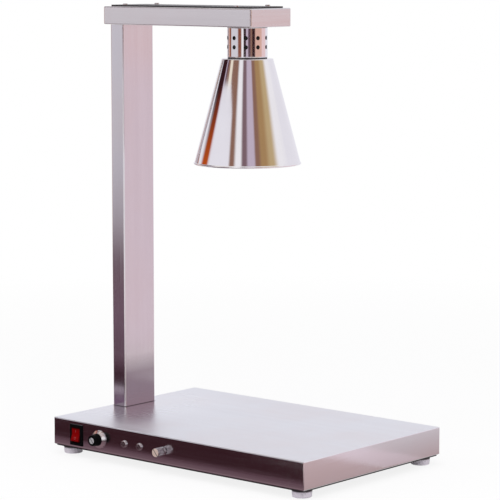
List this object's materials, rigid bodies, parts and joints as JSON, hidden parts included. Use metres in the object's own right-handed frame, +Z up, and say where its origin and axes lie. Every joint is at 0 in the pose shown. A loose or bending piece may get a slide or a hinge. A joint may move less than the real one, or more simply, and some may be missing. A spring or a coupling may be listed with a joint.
{
  "type": "heat lamp warming station",
  "caption": "Free-standing food warmer: heated stainless base on feet, flat column, overhanging arm and a conical chrome shade with an infrared bulb; rocker switch and knobs on the front.",
  "frame": {"origin": "on the floor under the middle of the base", "axes": "+Z up, +X along the base's long side away from the column, controls on the -Y side"},
  "size_m": [0.53, 0.382, 0.7325],
  "materials": {
    "stainless": "satin brushed stainless sheet",
    "polished_chrome": "polished chrome plate",
    "black_cover": "black satin paint",
    "screw_steel": "bright zinc plate",
    "galvanised_steel": "galvanised sheet",
    "pale_plastic": "pale moulded plastic",
    "silicone_mat": "moulded silicone",
    "insulation": "pressed fibre board",
    "bare_aluminium": "turned and rolled aluminium",
    "knurled_metal": "knurled plated metal",
    "white_ceramic": "unglazed white ceramic",
    "bright_brass": "plain brass",
    "black_rubber": "moulded black rubber",
    "bulb_glass": "red infrared reflector glass",
    "black_gloss_plastic": "black moulded plastic",
    "red_rocker": "translucent red moulded plastic",
    "black_plastic": "black nylon",
    "green_board": "solder mask",
    "cream_plastic": "cream moulded plastic",
    "lead_sheath": "white silicone sheath"
  },
  "bodies": {
    "station": {"base_housing": "stainless", "column_tube": "stainless", "arm_housing": "stainless", "lamp_shade": "polished_chrome", "vent_collar": "polished_chrome", "arm_cover": "black_cover", "bottom_cover": "black_cover", "arm_cover_screws": "screw_steel", "panel_screws": "screw_steel", "bottom_screws": "screw_steel", "foot_screws": "screw_steel", "terminal_screws": "screw_steel", "shade_screws": "screw_steel", "shade_nuts": "screw_steel", "foot_nuts": "screw_steel", "panel_nuts": "screw_steel", "heater_nuts": "screw_steel", "heater_studs": "screw_steel", "column_bolts": "screw_steel", "arm_bolts": "screw_steel", "control_nuts": "screw_steel", "nipple_nuts": "screw_steel", "socket_nipple": "screw_steel", "column_stiffener": "galvanised_steel", "column_foot_block": "galvanised_steel", "column_head_block": "galvanised_steel", "foot_front_left": "pale_plastic", "foot_front_right": "pale_plastic", "foot_rear_left": "pale_plastic", "foot_rear_right": "pale_plastic", "heating_mat": "silicone_mat", "insulation_board": "insulation", "heater_clamp_plate": "bare_aluminium", "heat_sink": "bare_aluminium", "lamp_socket": "white_ceramic", "thermal_cutout": "white_ceramic", "socket_shell": "bright_brass", "socket_contact": "bright_brass", "switch_terminals": "bright_brass", "shade_gasket": "black_rubber", "gland_seal": "black_rubber", "lead_grommets": "black_rubber", "switch_housing": "black_gloss_plastic", "gland_body": "black_plastic", "gland_locknut": "black_plastic", "gland_cap": "black_plastic", "thermostat_body": "black_plastic", "dimmer_body": "black_plastic", "control_board": "green_board", "terminal_block": "cream_plastic", "lamp_lead": "lead_sheath"},
    "rocker": {"switch_rocker": "red_rocker"},
    "thermostat_control": {"thermostat_knob": "black_gloss_plastic", "knob_skirt": "polished_chrome", "knob_cap": "bare_aluminium", "thermostat_shaft": "bare_aluminium"},
    "dimmer_control": {"dimmer_knob": "knurled_metal", "dimmer_shaft": "bare_aluminium"},
    "bulb": {"bulb_glass": "bulb_glass", "bulb_cap": "bright_brass"}
  },
  "joints": [
    {"name": "rocker_tilt", "type": "hinge", "parent": "station", "child": "rocker", "pos_m": [-0.2126, -0.1705, 0.036], "axis": [1, 0, 0], "range_deg": [0, 20]},
    {"name": "thermostat_turn", "type": "hinge", "parent": "station", "child": "thermostat_control", "pos_m": [-0.1613, -0.1725, 0.036], "axis": [0, 1, 0], "range_deg": [-100, 200]},
    {"name": "dimmer_turn", "type": "hinge", "parent": "station", "child": "dimmer_control", "pos_m": [-0.0225, -0.1725, 0.036], "axis": [0, 1, 0], "range_deg": [-100, 200]},
    {"name": "bulb_withdraw", "type": "slide", "parent": "station", "child": "bulb", "axis": [0, 0, -1], "range_m": [0, 0.205]}
  ]
}
